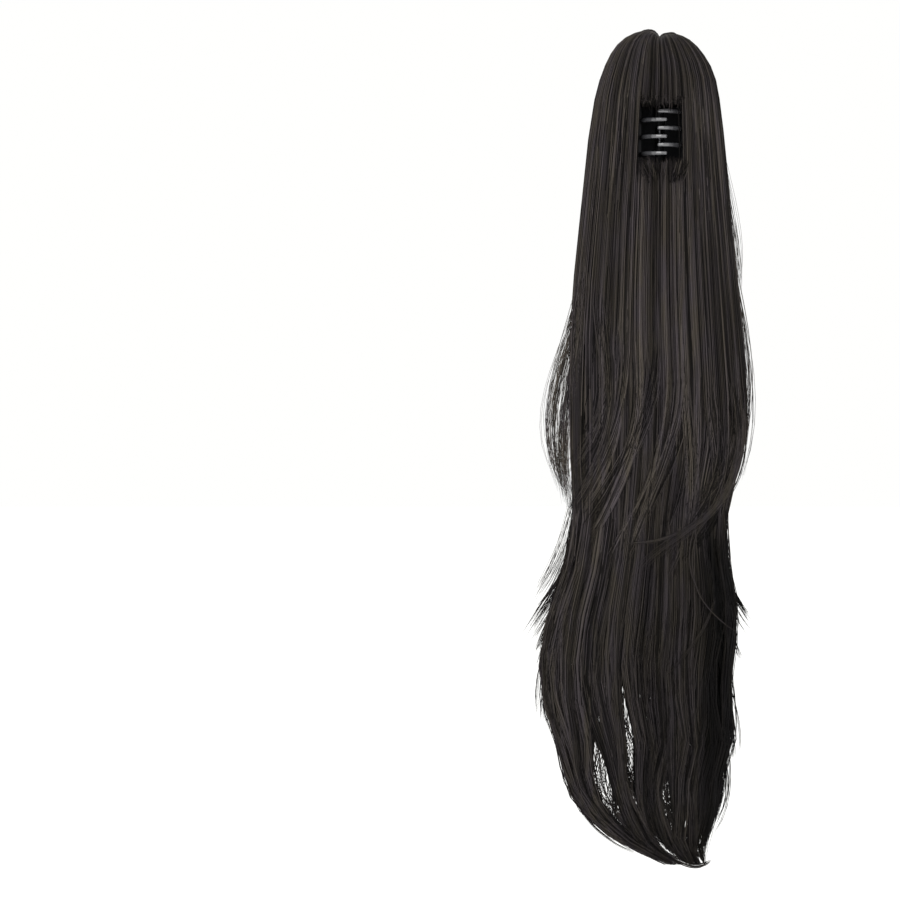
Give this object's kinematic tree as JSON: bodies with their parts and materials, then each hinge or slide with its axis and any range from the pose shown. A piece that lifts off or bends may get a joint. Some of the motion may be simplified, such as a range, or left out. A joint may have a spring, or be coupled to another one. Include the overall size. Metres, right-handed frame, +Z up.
{
  "type": "clip-on ponytail hairpiece",
  "caption": "Long straight dark ponytail of false hair that splits at the crown and hides a toothed claw clip on its inner side.",
  "frame": {"origin": "centre of the space that the closed claw grips", "axes": "+Z up along the hanging hair, -Y out of the claw's mouth towards the wearer's bun, +X to the viewer's right when looking at the claw"},
  "size_m": [0.1576, 0.0765, 0.6093],
  "materials": {
    "claw_plastic": "moulded, glossy black",
    "spring_steel": "drawn wire",
    "weft_cloth": "matt black woven tape",
    "hair": "fine synthetic fibre, dark brown, soft sheen along the strands"
  },
  "bodies": {
    "ponytail": {"weft_cap": "weft_cloth", "hinge_pin": "spring_steel", "hinge_spring": "spring_steel", "crown_hair": "hair", "left_bundle": "hair", "right_bundle": "hair", "under_fall": "hair", "outer_fall": "hair"},
    "left_jaw": {"jaw_left": "claw_plastic"},
    "right_jaw": {"jaw_right": "claw_plastic"}
  },
  "joints": [
    {"name": "right_jaw_hinge", "type": "hinge", "parent": "ponytail", "child": "right_jaw", "pos_m": [0, 0.0165, 0], "axis": [0, 0, 1], "range_deg": [0, 28], "stiffness_Nm_per_rad": 0.25, "springref_deg": -28.65},
    {"name": "left_jaw_hinge", "type": "hinge", "parent": "ponytail", "child": "left_jaw", "pos_m": [0, 0.0165, 0], "axis": [0, 0, 1], "range_deg": [-28, 0], "stiffness_Nm_per_rad": 0.25, "springref_deg": 28.65}
  ],
  "couplings": [
    {"joint": "left_jaw_hinge", "follows": "right_jaw_hinge", "ratio": -1}
  ]
}
